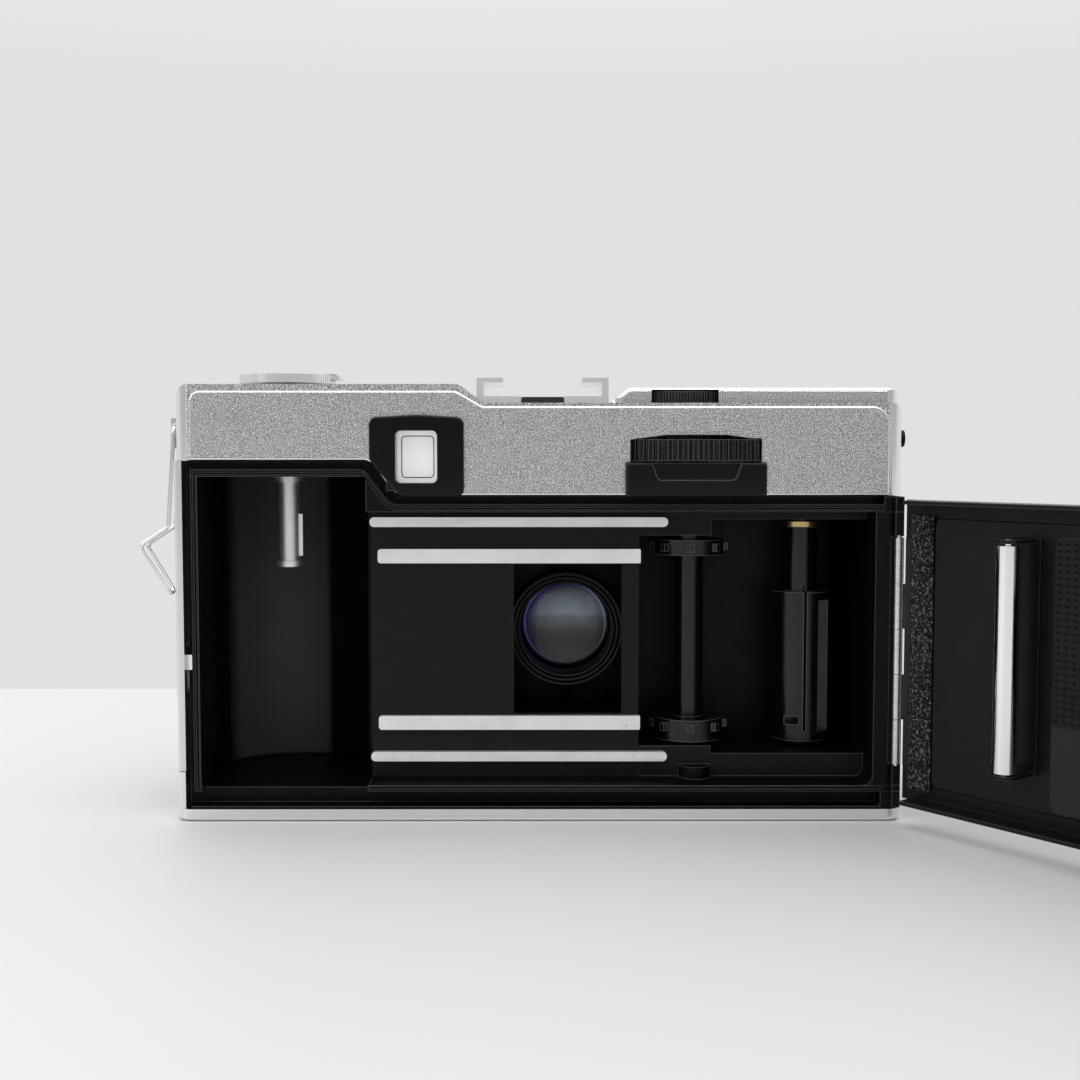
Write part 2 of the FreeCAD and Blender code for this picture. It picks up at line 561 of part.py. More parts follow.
# ---- viewfinder ----------------------------------------------------------
eye_points = [(eye_x - 7.1, eye_z - 5.9), (eye_x + 2.6, eye_z - 5.9), (eye_x + 7.1, eye_z - 0.5),
              (eye_x + 7.1, eye_z + 5.9), (eye_x, eye_z + 6.3), (eye_x - 7.1, eye_z + 5.9)]
eye_plate = slab("eye_plate", "XZ", eye_points, 1.25, 0.85, {0: 1.0, 1: 1.6, 2: 1.6, 3: 1.2, 5: 1.2},
                 [(0, 0.35)])
eye_neck = box("eye_neck", eye_x - 4.5, eye_x + 4.5, -1.6, 0.5, eye_z - 5.1, eye_z + 5.1)
eye_open = slab("eye_open", "XZ", [
    (eye_x - 3.1, eye_z - 3.9), (eye_x + 3.1, eye_z - 3.9), (eye_x + 3.1, eye_z + 3.9),
    (eye_x - 3.1, eye_z + 3.9)],
    3, 6, {0: 0.8, 1: 0.8, 2: 0.8, 3: 0.8})
node(cut("eyepiece_frame", fuse("eye_solid", eye_plate, eye_neck), eye_open))
node(box("eyepiece_lens", eye_x - 3.9, eye_x + 3.9, -2.7, -1.7, eye_z - 4.4, eye_z + 4.4))
tunnel_outer = box("finder_outer", eye_x - 5.0, eye_x + 5.0, front + 3.2, -2.8, 50.6, 61.2)
tunnel_inner = box("finder_inner", eye_x - 4.1, eye_x + 4.1, front + 2, -1, 51.4, 60.4)
node(cut("finder_tube", tunnel_outer, tunnel_inner))
finder_plate = slab("finder_plate", "XZ", [
    (eye_x - 8.2, 51.3), (eye_x + 8.2, 51.3), (eye_x + 8.2, 62.9), (eye_x - 8.2, 62.9)], front + 1.6, 2.2,
    {0: 1.0, 1: 1.0, 2: 1.0, 3: 1.0}, [(2.2, 0.5)])
finder_open = box("finder_open", eye_x - 5.2, eye_x + 5.2, front - 2, front + 3, 52.2, 60.2)
node(cut("finder_bezel", finder_plate, finder_open))
node(box("finder_window", eye_x - 5.15, eye_x + 5.15, front + 0.2, front + 1.4, 52.25, 60.15))
node(box("counter_window", dial_x - 2.45, dial_x + 2.45, -16.55, -13.05, d.deck_top - 0.8,
         d.deck_top - 0.05))

# ---- side fittings -------------------------------------------------------
house = slab("house_block", "XZ", [
    (wheel_mid - 10.5, 49.6), (wheel_mid + 10.5, 49.6), (wheel_mid + 10.5, 54.6), (wheel_mid - 10.5, 54.6)],
    1.9, 2.9, None, [(0, 0.35)])
thumb_well = slab("thumb_well", "XZ", [
    (wheel_mid - 5.8, 52.0), (wheel_mid + 5.8, 52.0), (wheel_mid + 7.0, 55.4), (wheel_mid - 7.0, 55.4)],
    2.5, 1.3,
    {0: 1.0, 1: 1.0})
node(cut("wheel_housing", house, thumb_well))
lug_x, lug_y, lug_z = right + 0.85, sized(-6.5), sized(60.0)
lug = block("lug_block", right, right + 1.8, lug_y - 1.3, lug_y + 1.3, 56.8, 61.4, {1: 0.5, 2: 0.5})
lug_hole = rod("lug_hole", 0.7, lug_y - 3, lug_y + 3, lug_x + 0.1, lug_z, "y")
node(cut("strap_lug", lug, lug_hole))
node(tube("sync_socket", 1.3, 0.6, left - 1.35, left, -6, 58.3, "x"))
loop = [(0.1, 2.2, 0), (1.2, 2.2, -15.3), (5.8, 2.0, -18.3), (1.3, 1.3, -25.6), (1.3, -1.3, -25.6),
        (5.8, -2.0, -18.3),
        (1.2, -2.2, -15.3), (0.1, -2.2, 0)]
strap = wire("strap_ring", [V(x, y, z) for x, y, z in loop], 0.33, True, 0.9)
node(place(strap, lug_x, lug_y, lug_z))

# ---- hinge ---------------------------------------------------------------
long = (d.hinge_high - d.hinge_low) / 5
hinge_pin = rod("hinge_pin", 0.25, d.hinge_low - 0.3, d.hinge_high + 0.3, d.hinge_x, d.hinge_y)
node(hinge_pin)
leaf = [box("leaf_plate", left, d.case_left, -6, d.hinge_y - 0.9, d.hinge_low, d.hinge_high)]
for k in (0, 2, 4):
    base = d.hinge_low + long * k
    leaf.append(rod("leaf_knuckle_%d" % k, d.barrel_r, base, base + long - 0.1, d.hinge_x, d.hinge_y))
    leaf.append(box("leaf_web_%d" % k, left, d.case_left, -1, d.hinge_y, base, base + long - 0.1))
pin_bore = rod("leaf_bore", 0.25, 0, 60, d.hinge_x, d.hinge_y)
node(cut("hinge_leaf_body", fuse("leaf_solid", *leaf), pin_bore))

# ---- lens and shutter ----------------------------------------------------
axis = d.gate_z


def lens_tube(name, r_out, r_in, near, far):
    """A ring about the lens axis between two distances in front of the back edge."""
    return tube(name, r_out, r_in, -sized(far), -sized(near), 0, axis, "y")


node(lens_tube("lens_base_ring", 20.9, d.housing_r + 0.1, 31.0, 33.0))
rear_tube = lens_tube("rear_tube", d.barrel_out, 7.6, 18.5, 31.0)
rear_seat = lens_tube("rear_seat", 8.0, 6.6, 29.6, 31.0)
node(fuse("rear_lens_ring", rear_tube, rear_seat))
rear_glass = cut("rear_lens", rod("rear_blank", 7.5, -29.5, -27.0, 0, axis, "y"),
                 rod("rear_dish", 6.9, -27.7, -26.5, 0, axis, "y"))
node(rear_glass)
housing = rod("housing_block", d.housing_r, -36.6, -31.05, 0, axis, "y")
chamber = rod("housing_room", 15.5, -34.8, -32.2, 0, axis, "y")
posts = [rod("blade_post_%d" % k, 0.6, -36, -31.5, x, axis, "y") for k, x in enumerate((-10, 10))]
room = cut("housing_space", chamber, *posts)
light_rear = rod("light_rear", 6.6, -32.5, -30, 0, axis, "y")
light_front = rod("light_front", 4.5, -38, -34, 0, axis, "y")
node(cut("shutter_housing", housing, room, light_rear, light_front))
for tag, side, near in (("a", -1, 32.8), ("b", 1, 33.4)):
    plate = slab("blade_plate_" + tag, "XZ", [
        (-side * 0.3, axis - 5.4), (-side * 0.3, axis + 5.4), (side * 4.6, axis + 5.4),
        (side * 10, axis + 1.3),
        (side * 11.4, axis + 1.3), (side * 11.4, axis - 1.3), (side * 10, axis - 1.3),
        (side * 4.6, axis - 5.4)],
        -near, 0.2)
    hole = rod("blade_hole_" + tag, 0.66, -35, -31, side * 10, axis, "y")
    node(cut("shutter_blade_" + tag, plate, hole))
holder = lens_tube("holder_block", 20.4, d.cell_in - 0.6, 36.6, 40.0)
holder_well = lens_tube("holder_well", d.cell_out, d.cell_in, 38.0, 41)
node(cut("cell_holder", holder, holder_well))
node(lens_tube("selenium_cell", d.cell_out - 0.05, d.cell_in + 0.05, 38.0, 38.5))
node(lens_tube("cell_window", d.cell_out - 0.05, d.cell_in + 0.05, 38.6, 39.8))
front_tube = rod("front_tube", 9.5, -41.6, -36.6, 0, axis, "y")
front_bell = cone("front_bell", 5.6, 8.9, -42, -39.6, 0, axis, "y")
front_bore = rod("front_bore", 5.6, -40, -36, 0, axis, "y")
node(cut("front_barrel", front_tube, front_bell, front_bore))
node(rod("front_lens", 5.55, -39.5, -37.2, 0, axis, "y"))
for tag, teeth, tip, root, inner, near, far in (
        ("aperture_ring", 72, 21.3, 20.9, d.housing_r + 0.06, 33.2, 36.4),
        ("iso_ring", 60, 12.5, 12.2, sized(9.56), 36.8, 41.2)):
    blank = toothed(tag + "_blank", teeth, tip, root, 0.45, 0.75, 0, far - near, 0, 0)
    turned(blank, (0, -near), axis, "y")
    bore = rod(tag + "_bore", inner, -50, -30, 0, axis, "y")
    node(cut(tag, blank, bore))

# ---- wind, sprocket and take-up -----------------------------------------
grip = toothed("grip", 64, d.wheel_r, d.wheel_r - 0.45, 0.5, 0.7, 54.9, 58.1, d.drive_x, d.drive_y)
grip_dish = rod("grip_dish", d.wheel_r - 3, 57.5, 59, d.drive_x, d.drive_y)
node(cut("wind_wheel", grip, grip_dish))
film_half = d.film_wide / 2 - 3.4
shaft = [rod("drive_low", 2.0, 2.4, 10.7, d.drive_x, d.drive_y),
         rod("drive_mid", 2.25, 10.5, 44.0, d.drive_x, d.drive_y),
         rod("drive_high", 3.0, 43.0, 54.9, d.drive_x, d.drive_y)]
for k, level in enumerate((axis - film_half, axis + film_half)):
    shaft.append(rod("drum_%d" % k, d.drum_r, level - (1.2, 2.2)[k == 0], level + 1.2, d.drive_x,
                     d.drive_y))
    shaft.append(toothed("teeth_%d" % k, 8, d.drum_r + 0.65, d.drum_r - 0.2, 0.16, 0.3, level - 0.6,
                         level + 0.6,
                         d.drive_x, d.drive_y, -3))
mod = d.gear_mod


def gear(name, teeth, low, high, x, y, turn):
    """A spur gear with room for running clearance between the teeth."""
    pitch_r = mod * teeth / 2
    return toothed(name, teeth, pitch_r + mod * 0.7, pitch_r - mod * 1.0, 0.22, 0.5, low, high, x, y, turn)


train = math.degrees(math.atan2(-1.627, -9.867))
shaft.append(gear("drive_gear", 20, 2.4, 4.2, d.drive_x, d.drive_y, train))
node(fuse("sprocket_shaft", *shaft))
idler = gear("idler_blank", 20, 2.4, 4.2, idler_x, idler_y, train + 9)
node(cut("idler_gear", idler, rod("idler_bore", 1.25, 1, 6, idler_x, idler_y)))
spool_gear = gear("spool_gear_blank", 15, 2.4, 4.2, d.spool_x, d.spool_y, train + 180)
node(cut("spool_gear", spool_gear, rod("spool_gear_bore", 1.5, 1, 6, d.spool_x, d.spool_y)))
core = [rod("core_shaft", 1.5, 1.8, 47.2, d.spool_x, d.spool_y),
        rod("core_low", 4.5, 9.9, 33.9, d.spool_x, d.spool_y),
        rod("core_high", 2.6, 33.5, 44.2, d.spool_x, d.spool_y)]
slit = box("core_slit", d.spool_x - 0.2, d.spool_x + 0.25, d.spool_y + 1.6, d.spool_y + 6, 11.5, 35)
hook = box("core_hook", d.spool_x + 0.9, d.spool_x + 3.0, d.spool_y + 1.6, d.spool_y + 6, 12.6, 13.9)
flat = box("core_flat", d.spool_x - 6, d.spool_x - 2.2, d.spool_y + 1.8, d.spool_y + 6, 11.5, 32.5)
node(cut("take_up_spool", fuse("core", *core), slit, hook, flat))
node(tube("spool_ring", 3.1, 1.5, 44.3, 45.1, d.spool_x, d.spool_y))

# ---- counter, release and rewind ----------------------------------------
dial = toothed("dial_blank", 54, dial_r, dial_r - 0.35, 0.5, 0.7, d.cover_low - 0.1, d.deck_top - 0.6,
               dial_x, dial_y)
dial_dish = rod("dial_dish", 7.2, 64.8, 67, dial_x, dial_y)
node(cut("counter_dial", dial, rod("dial_bore", 1.06, 60, 67, dial_x, dial_y), dial_dish))
press = [rod("press_stem", 1.5, 60.2, 65.0, button_x, button_y),
         rod("press_flange", 3.3, 64.4, 65.0, button_x, button_y),
         rod("press_cap", 2.8, 65.0, d.deck_top + 0.55, button_x, button_y)]
node(cut("shutter_button", fuse("press", *press), rod("press_dish", 0.7, 66.2, 68, button_x, button_y)))
node(tube("rewind_collar", 2.2, 1.71, 51.5, 61.0, d.can_x, d.can_y))
fork = [rod("fork_shaft", 1.65, 38.2, 67.0, d.can_x, d.can_y),
        rod("fork_foot", 2.05, 37.9, 38.8, d.can_x, d.can_y),
        box("fork_fin", d.can_x - 2.15, d.can_x, d.can_y - 0.4, d.can_y + 0.4, 39.6, 46.3)]
node(fuse("rewind_shaft", *fork))
knob_disc = toothed("knob_disc", 90, 7.6, 7.5, 0.5, 0.75, 67.0, 68.35, d.can_x, d.can_y)
crank_well = box("crank_well", d.can_x - 10, d.can_x + 3.4, d.can_y - 2.3, d.can_y + 2.3, 67.5, 69)
crank_pin_hole = rod("crank_pin_hole", 0.36, d.can_y - 4, d.can_y + 4, d.can_x + 2.6, 67.95, "y")
node(cut("rewind_knob", knob_disc, crank_well, crank_pin_hole))
lever = slab("lever_block", "XY", [
    (d.can_x - 8.9, d.can_y - 1.9), (d.can_x + 2.6, d.can_y - 1.9), (d.can_x + 2.6, d.can_y + 1.9),
    (d.can_x - 8.9, d.can_y + 1.9)], 67.6, 0.7, {0: 1.5, 3: 1.5})
lever_end = rod("lever_end", 0.35, d.can_y - 1.9, d.can_y + 1.9, d.can_x + 2.6, 67.95, "y")
lever_pin = rod("lever_pin", 0.3, d.can_y - 3.6, d.can_y + 3.6, d.can_x + 2.6, 67.95, "y")
handle_hole = rod("handle_hole", 1.26, 67, 69, d.can_x - 7.0, d.can_y)
node(cut("rewind_crank", fuse("lever", lever, lever_end, lever_pin), handle_hole))
node(rod("crank_handle", 1.2, 67.6, 68.6, d.can_x - 7.0, d.can_y))
node(fuse("rewind_release", rod("release_cap", 2.3, 0.15, 1.5, d.drive_x, d.drive_y),
          rod("release_flange", 3.1, 1.25, 1.6, d.drive_x, d.drive_y)))
slider = [box("slider_thumb", right + 0.05, right + 0.45, -4.8, -1.5, 19.0, 30.0),
          box("slider_shank", d.case_right + 0.1, right + 0.3, -4.3, -1.7, 23.5, 26.5),
          box("slider_catch", d.case_right - 0.8, d.case_right + 0.4, -2.5, -1.5, 23.0, 25.3)]
node(fuse("latch_slider", *slider))

# ---- back door, drawn closed about the hinge axis, then swung open -------


def hung(made):
    """Swing a sub-part drawn about the hinge axis to the open angle."""
    node(made)
    place(made, d.hinge_x, d.hinge_y + d.frame_y, 0)
    made.setExpression("Placement.Rotation.Angle", d.door_open.text)
    return made


def door_outline(inset, near):
    """The door's outline, drawn in from every edge; near is its hinge end."""
    step = d.step_a + 0.8 - d.hinge_x
    return [(sized(near), d.door_low + inset), (d.door_end - inset, d.door_low + inset),
            (d.door_end - inset, d.door_high - inset), (step + 3.4 + inset * 0.5, d.door_high - inset),
            (step + inset * 0.5, d.door_top - inset), (sized(near), d.door_top - inset)]


skin_pad = slab("door_skin", "XZ", door_outline(0, 0.6), 2.2, 1.2, {1: 1.2, 2: 1.2, 3: 2.4, 4: 1.6},
                [(0, 0.6)])
lip_outer = slab("lip_outer", "XZ", door_outline(0, 3.0), 1.1, 4.1, {1: 1.2, 2: 1.2, 3: 2.4, 4: 2.2})
lip_inner = slab("lip_inner", "XZ", door_outline(0.6, -1.0), 1.0, 5.0, {1: 0.6, 2: 0.6, 3: 2.2, 4: 3.6})
catch_gap = box("catch_gap", d.door_end - 2, d.door_end + 1, -3.4, -0.9, 18.8, 26.2)
door_panel = slab("door_panel", "XZ", door_outline(2.6, 6.0), 1.1, 0.5,
                  {0: 1.2, 1: 1.2, 2: 1.2, 3: 2.0, 4: 1.2, 5: 1.2},
                  [(0.5, 0.25)])
hung(cut("door_shell", fuse("door_solid", skin_pad, cut("door_lip", lip_outer, lip_inner), door_panel),
         catch_gap))
grain = slab("grain", "XZ", door_outline(1.6, 3.0), 2.8, 0.6, {1: 1.0, 2: 1.0, 3: 2.6, 4: 1.4})
hung(fuse("door_covering", grain, box("grain_edge", 3.0, 3.1, 2.2, 2.8, d.door_low + 1.6,
                                      d.door_top - 1.6)))
hung(cut("door_foam", box("foam_pad", 2.1, 5.9, 0.0, 1.0, 5.6, 46.9),
         box("foam_end", 2.0, 6.0, -1, 0.3, 46.5, 48)))
plates = [box("door_leaf", 0.1, 2.0, 0.3, 1.0, d.hinge_low, d.hinge_high)]
gaps = [rod("door_bore", 0.3, 0, 60, 0, 0)]
for k in range(5):
    base = d.hinge_low + long * k
    if k % 2:
        plates.append(rod("door_knuckle_%d" % k, d.barrel_r, base, base + long - 0.1, 0, 0))
    else:
        gaps.append(box("door_gap_%d" % k, -1, 1.05, -1, 1.1, base - 0.1, base + long))
hung(cut("hinge_leaf_door", fuse("door_leaf_solid", *plates), *gaps))
plate = slab("plate_pad", "XZ", [
    (29.4, 8.5), (81.0, 8.5), (81.0, 45.1), (29.4, 45.1)], -5.05, 0.7,
    {0: 1.2, 1: 1.5, 2: 1.5, 3: 1.2}, [(sized(0.7), 0.25)])
hung(fuse("pressure_plate", plate, box("plate_rib", 40, 72, -5.06, -4.95, 25, 29)))
leaf_path = [(36.0, -4.5), (46.0, 0.2), (66.0, 0.2), (76.0, -4.5), (76.6, -4.3), (66.2, 0.6), (45.8, 0.6),
             (35.4, -4.3)]
spring = slab("spring_leaf", "XY", leaf_path, 21, 12)
hung(cut("pressure_spring", spring, box("spring_hole", 54, 58, 0, 2, 25, 29)))
roll_x, roll_y = sized(21.5), sized(-4.1)
bracket = [box("bracket_back", roll_x - 2.2, roll_x + 2.2, 0.15, 0.6, 11.3, 44.3),
           block("bracket_low", roll_x - 1.7, roll_x + 1.7, -5.7, 0.3, 11.3, 11.85, {2: 1.6, 3: 1.6}),
           block("bracket_high", roll_x - 1.7, roll_x + 1.7, -5.7, 0.3, 43.75, 44.3, {2: 1.6, 3: 1.6})]
hung(cut("roller_bracket", fuse("bracket", *bracket), rod("bracket_bore", 0.65, 5, 50, roll_x, roll_y)))
hung(fuse("film_roller", rod("roller_body", 1.75, 12.15, 43.45, roll_x, roll_y),
          rod("roller_spindle", 0.6, 11.25, 44.35, roll_x, roll_y)))

# ---- check and write -----------------------------------------------------
DOC.recompute()
faults = [made.Name for made in DOC.Objects if any(word in made.State for word in ("Invalid", "Error"))]
faults += [made.Label for made in NODES if made.Shape.isNull() or not made.Shape.isValid()]
if faults:
    raise RuntimeError("these need mending: " + ", ".join(faults))
os.makedirs("parts", exist_ok=True)
for made in NODES:
    made.Shape.exportStep("parts/%s.step" % made.Label)
print(len(NODES), "sub-parts written")
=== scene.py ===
import math
import random

import bpy
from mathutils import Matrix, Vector


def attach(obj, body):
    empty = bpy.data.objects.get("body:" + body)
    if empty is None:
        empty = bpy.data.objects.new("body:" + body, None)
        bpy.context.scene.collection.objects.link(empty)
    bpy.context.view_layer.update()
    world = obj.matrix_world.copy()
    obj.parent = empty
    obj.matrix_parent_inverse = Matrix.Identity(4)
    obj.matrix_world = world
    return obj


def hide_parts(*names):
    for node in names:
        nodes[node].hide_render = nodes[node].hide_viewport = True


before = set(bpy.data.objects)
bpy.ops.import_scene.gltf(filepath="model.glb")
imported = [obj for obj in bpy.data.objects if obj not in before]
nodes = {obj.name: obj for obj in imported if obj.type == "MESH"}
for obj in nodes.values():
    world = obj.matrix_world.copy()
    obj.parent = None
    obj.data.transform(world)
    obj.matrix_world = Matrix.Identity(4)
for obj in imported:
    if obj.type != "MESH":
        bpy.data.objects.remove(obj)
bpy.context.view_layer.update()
MM = 0.001
BACK = 14.0                   # the tripod socket's distance ahead of the back edge, mm
AXIS_Z = 27.05                # height of the lens axis, mm
HINGE = (-49.7, 0.6)          # the door's hinge axis, mm from the back edge
OPEN = math.radians(127.5)    # how far the door is drawn open
random.seed(7)


def mm(x, y, z):
    """A point given in millimetres from the back edge, in the frame's metres."""
    return Vector((x * MM, (y + BACK) * MM, z * MM))


# ---- materials -----------------------------------------------------------


class Nodes:
    """A small hand for building a node material."""

    def __init__(self, name, metallic=0.0, rough=0.5, colour=(0.5, 0.5, 0.5), **sockets):
        self.mat = bpy.data.materials.new(name)
        self.mat.use_nodes = True
        self.tree = self.mat.node_tree
        self.bsdf = self.tree.nodes["Principled BSDF"]
        self.bsdf.inputs["Metallic"].default_value = metallic
        self.bsdf.inputs["Roughness"].default_value = rough
        self.bsdf.inputs["Base Color"].default_value = (*colour, 1)
        for key, value in sockets.items():
            self.bsdf.inputs[key.replace("_", " ")].default_value = value
        self.coords = self.add("ShaderNodeTexCoord").outputs["Object"]

    def add(self, kind, **props):
        made = self.tree.nodes.new(kind)
        for key, value in props.items():
            setattr(made, key, value)
        return made

    def link(self, out, into):
        self.tree.links.new(out, into)

    def mapped(self, scale):
        made = self.add("ShaderNodeMapping")
        made.inputs["Scale"].default_value = scale
        self.link(self.coords, made.inputs["Vector"])
        return made.outputs["Vector"]

    def noise(self, scale, detail=3.0, rough=0.5, vector=None):
        made = self.add("ShaderNodeTexNoise")
        made.inputs["Scale"].default_value = scale
        made.inputs["Detail"].default_value = detail
        made.inputs["Roughness"].default_value = rough
        self.link(vector or self.coords, made.inputs["Vector"])
        return made.outputs["Fac"]

    def cells(self, scale):
        made = self.add("ShaderNodeTexVoronoi", feature="F1")
        made.inputs["Scale"].default_value = scale
        self.link(self.coords, made.inputs["Vector"])
        return made.outputs["Distance"]

    def math(self, kind, a, b=0.0):
        made = self.add("ShaderNodeMath", operation=kind)
        for socket, value in zip(made.inputs, (a, b)):
            if isinstance(value, (int, float)):
                socket.default_value = value
            else:
                self.link(value, socket)
        return made.outputs[0]

    def ramp(self, fac, stops):
        made = self.add("ShaderNodeValToRGB")
        while len(made.color_ramp.elements) < len(stops):
            made.color_ramp.elements.new(0.5)
        for element, (at, colour) in zip(made.color_ramp.elements, stops):
            element.position = at
            element.color = (*colour, 1)
        self.link(fac, made.inputs["Fac"])
        return made.outputs["Color"]

    def span(self, fac, low, high, to_low, to_high):
        """Maps low..high to to_low..to_high."""
        made = self.add("ShaderNodeMapRange")
        for index, value in enumerate((low, high, to_low, to_high), 1):
            made.inputs[index].default_value = value
        self.link(fac, made.inputs[0])
        return made.outputs[0]

    def mix(self, fac, a, b):
        made = self.add("ShaderNodeMix", data_type="RGBA")
        # On a colour mix, sockets 6 and 7 are the two colours and output 2 is the result.
        for socket, value in ((made.inputs[0], fac), (made.inputs[6], a), (made.inputs[7], b)):
            if isinstance(value, (int, float)):
                socket.default_value = value
            elif isinstance(value, tuple):
                socket.default_value = (*value, 1)
            else:
                self.link(value, socket)
        return made.outputs[2]

    def colour(self, out):
        self.link(out, self.bsdf.inputs["Base Color"])

    def rough(self, out):
        self.link(out, self.bsdf.inputs["Roughness"])

    def bump(self, height, strength, distance):
        made = self.add("ShaderNodeBump")
        made.inputs["Strength"].default_value = strength
        made.inputs["Distance"].default_value = distance
        self.link(height, made.inputs["Height"])
        self.link(made.outputs["Normal"], self.bsdf.inputs["Normal"])

    def axes(self):
        made = self.add("ShaderNodeSeparateXYZ")
        self.link(self.coords, made.inputs[0])
        return made.outputs

    def reach(self, u, v):
        """The length of the two offsets u and v taken together."""
        return self.math("SQRT", self.math("ADD", self.math("MULTIPLY", u, u), self.math("MULTIPLY", v, v)))

    def facing(self):
        """How nearly the surface faces along one of the row's axes, 0 to 1."""
        split = self.add("ShaderNodeSeparateXYZ")
        self.link(self.add("ShaderNodeTexCoord").outputs["Normal"], split.inputs[0])
        parts = [self.math("ABSOLUTE", part) for part in split.outputs]
        return self.math("MAXIMUM", self.math("MAXIMUM", parts[0], parts[1]), parts[2])

    def edges(self):
        """1 along sharp edges and 0 on open faces."""
        bent = self.add("ShaderNodeBevel", samples=4)
        bent.inputs["Radius"].default_value = 0.2 * MM
        plain_normal = self.add("ShaderNodeNewGeometry")
        dot = self.add("ShaderNodeVectorMath", operation="DOT_PRODUCT")
        self.link(bent.outputs["Normal"], dot.inputs[0])
        self.link(plain_normal.outputs["Normal"], dot.inputs[1])
        return self.span(dot.outputs["Value"], 0.995, 0.88, 0.0, 1.0)


def satin_chrome():
    """Bead blasted chrome on flat faces, polished along the rounded edges."""
    n = Nodes("satin_chrome", 1.0, 0.4, (0.6, 0.6, 0.6))
    grain = n.noise(6400, 2.0, 0.6)
    coarse = n.noise(2600, 3.0, 0.6)
    flat = n.span(n.facing(), 0.985, 0.999, 0.0, 1.0)
    fleck = n.ramp(grain, [(0.36, (0.20, 0.205, 0.21)), (0.50, (0.46, 0.465, 0.47)),
                           (0.64, (0.98, 0.98, 0.98))])
    n.colour(n.mix(flat, (0.88, 0.88, 0.89), fleck))
    n.rough(n.span(flat, 0.0, 1.0, 0.14, 0.30))
    height = n.math("MULTIPLY", n.math("ADD", grain, coarse), flat)
    n.bump(height, 0.75, 0.00006)
    return n.mat


def polished(name, colour=(0.82, 0.82, 0.83), rough=0.12, marks=0.05, streak=(1, 1, 1)):
    """Bright metal with faint streaks and handling marks."""
    n = Nodes(name, 1.0, rough, colour)
    streaks = n.noise(900, 4.0, 0.6, n.mapped(streak))
    blots = n.noise(120, 3.0, 0.6)
    n.rough(n.span(n.math("ADD", streaks, blots), 0.6, 1.4, max(rough - marks, 0.02), rough + marks))
    n.bump(streaks, 0.06, 0.00002)
    return n.mat


def black_paint(name, colour, rough, grain, strength, coat=0.0, gloss=0.16, edge=0.12):
    """Black paint over a casting or a pressing, with fine texture, a little dust and a painted highlight
    that lightens sharp edges by the edge amount.
    """
    n = Nodes(name, 0.0, rough, (colour,) * 3)
    n.bsdf.inputs["Specular IOR Level"].default_value = gloss
    tint = n.noise(260, 5.0, 0.7)
    dust = n.ramp(n.noise(2600, 3.0, 0.7), [(0.0, (colour,) * 3), (0.66, (colour * 1.1,) * 3),
                                            (0.84, (colour * 3 + 0.02,) * 3)])
    # Painted highlight: sharp edges are lightened towards grey by the edge amount.
    n.colour(n.mix(n.math("MULTIPLY", n.edges(), edge), dust, (0.5, 0.5, 0.5)))
    n.rough(n.span(tint, 0.3, 0.7, rough - 0.07, rough + 0.08))
    n.bump(n.noise(grain, 3.0, 0.6), strength, 0.00004)
    if coat:
        n.bsdf.inputs["Coat Weight"].default_value = coat
        n.bsdf.inputs["Coat Roughness"].default_value = 0.04
    return n.mat


def casting_black():
    """Black casting paint: greyer on the film bed, with a painted reflection as a paler band down the film
    chamber, and a painted highlight on the edges of the rim and of the ledge only."""
    n = Nodes("casting_black", 0.0, 0.4, (0.0015,) * 3)
    n.bsdf.inputs["Specular IOR Level"].default_value = 0.14
    x, y, z = n.axes()
    within = n.math("MULTIPLY", n.span(x, -0.0463, -0.0460, 0.0, 1.0), n.span(x, 0.0306, 0.0309, 1.0, 0.0))
    depth = n.math("MULTIPLY", n.span(y, 0.0072, 0.0074, 0.0, 1.0), n.span(y, 0.0080, 0.0083, 1.0, 0.0))
    bed = n.math("MULTIPLY", within, depth)
    dust = n.ramp(n.noise(2600, 3.0, 0.7), [(0.0, (0.0012,) * 3), (0.66, (0.002,) * 3),
                                            (0.86, (0.04,) * 3)])
    grey = n.ramp(n.noise(3200, 3.0, 0.7), [(0.0, (0.007,) * 3), (0.66, (0.009,) * 3),
                                            (0.86, (0.06,) * 3)])
    # Painted reflection: a paler band down the back wall of the film chamber.
    band = n.math("MULTIPLY", n.span(x, 0.0396, 0.0408, 0.0, 1.0), n.span(x, 0.0545, 0.0560, 1.0, 0.0))
    deep = n.math("MULTIPLY", n.span(y, -0.004, -0.002, 1.0, 0.0), n.span(z, 0.0046, 0.0050, 0.0, 1.0))
    dust_and_sheen = n.mix(n.math("MULTIPLY", band, deep), dust, (0.05, 0.05, 0.05))
    rim = n.span(y, 0.0085, 0.0087, 0.0, 1.0)
    ledge = n.math("MULTIPLY", n.span(x, -0.0114, -0.0112, 1.0, 0.0), n.span(y, 0.0065, 0.0067, 0.0, 1.0))
    # Painted highlight: lightens the sharp edges of the rim and the ledge.
    worn = n.math("MULTIPLY", n.edges(), n.math("MULTIPLY", n.math("MAXIMUM", rim, ledge), 0.2))
    n.colour(n.mix(worn, n.mix(bed, dust_and_sheen, grey), (0.5, 0.5, 0.5)))
    n.rough(n.span(n.noise(260, 5.0, 0.7), 0.3, 0.7, 0.32, 0.48))
    n.bump(n.noise(2600, 3.0, 0.6), 0.22, 0.00004)
    return n.mat


